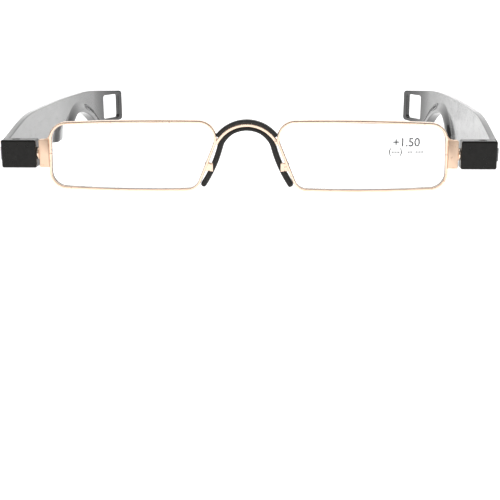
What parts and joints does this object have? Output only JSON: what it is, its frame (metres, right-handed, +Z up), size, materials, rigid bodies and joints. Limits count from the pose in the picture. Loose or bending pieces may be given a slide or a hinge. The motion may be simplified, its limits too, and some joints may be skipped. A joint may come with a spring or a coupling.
{
  "type": "folding reading glasses",
  "caption": "Folding reading glasses: thin metal rims, black nose saddle, and wide temples that swivel over the top and fold flat along both sides of the frame.",
  "frame": {"origin": "middle of the nose opening, on the lens plane and on the lenses' horizontal centre line", "axes": "+X across the frame, +Y back along the open temples, +Z up"},
  "size_m": [0.1417, 0.1308, 0.0199],
  "materials": {
    "rose_gold": "polished pale rose-gold plating",
    "clear_lens": "clear polished plastic lens",
    "gloss_black": "glossy black moulding",
    "block_black": "satin black",
    "saddle_black": "soft satin black",
    "pin_steel": "turned steel"
  },
  "bodies": {
    "front": {"bridge_cover": "saddle_black", "bridge_wire": "rose_gold", "end_tab_left": "rose_gold", "end_tab_right": "rose_gold", "lens_left": "clear_lens", "lens_right": "clear_lens", "nose_saddle": "saddle_black", "pad_tab_left": "rose_gold", "pad_tab_right": "rose_gold", "rim_left": "rose_gold", "rim_lock_lower_left": "rose_gold", "rim_lock_lower_right": "rose_gold", "rim_lock_upper_left": "rose_gold", "rim_lock_upper_right": "rose_gold", "rim_right": "rose_gold", "rim_screw_left": "pin_steel", "rim_screw_right": "pin_steel", "swivel_collar_left": "pin_steel", "swivel_collar_right": "pin_steel", "swivel_screw_left": "pin_steel", "swivel_screw_right": "pin_steel", "swivel_washer_left": "pin_steel", "swivel_washer_right": "pin_steel"},
    "block_left": {"hinge_block_left": "block_black", "hinge_pin_left": "pin_steel"},
    "block_right": {"hinge_block_right": "block_black", "hinge_pin_right": "pin_steel"},
    "temple_left": {"temple_left": "gloss_black"},
    "temple_right": {"pen_clip_foot": "gloss_black", "pen_clip_rivet": "pin_steel", "temple_right": "gloss_black"},
    "clip": {"pen_clip_tongue": "gloss_black"}
  },
  "joints": [
    {"name": "swivel_left", "type": "hinge", "parent": "front", "child": "block_left", "pos_m": [-0.058, 0, 0.0005], "axis": [-1, 0, 0], "range_deg": [-180, 0]},
    {"name": "swivel_right", "type": "hinge", "parent": "front", "child": "block_right", "pos_m": [0.058, 0, 0.0005], "axis": [1, 0, 0], "range_deg": [0, 180]},
    {"name": "fold_left", "type": "hinge", "parent": "block_left", "child": "temple_left", "pos_m": [-0.064, 0, 0.0005], "axis": [0, 0, -1], "range_deg": [0, 85]},
    {"name": "fold_right", "type": "hinge", "parent": "block_right", "child": "temple_right", "pos_m": [0.064, 0, 0.0005], "axis": [0, 0, 1], "range_deg": [0, 85]},
    {"name": "clip_flex", "type": "hinge", "parent": "temple_right", "child": "clip", "pos_m": [0.0694, 0.0168, 0.0005], "axis": [0, 0, -1], "range_deg": [0, 5], "stiffness_Nm_per_rad": 0.6, "springref_deg": -1.72}
  ]
}
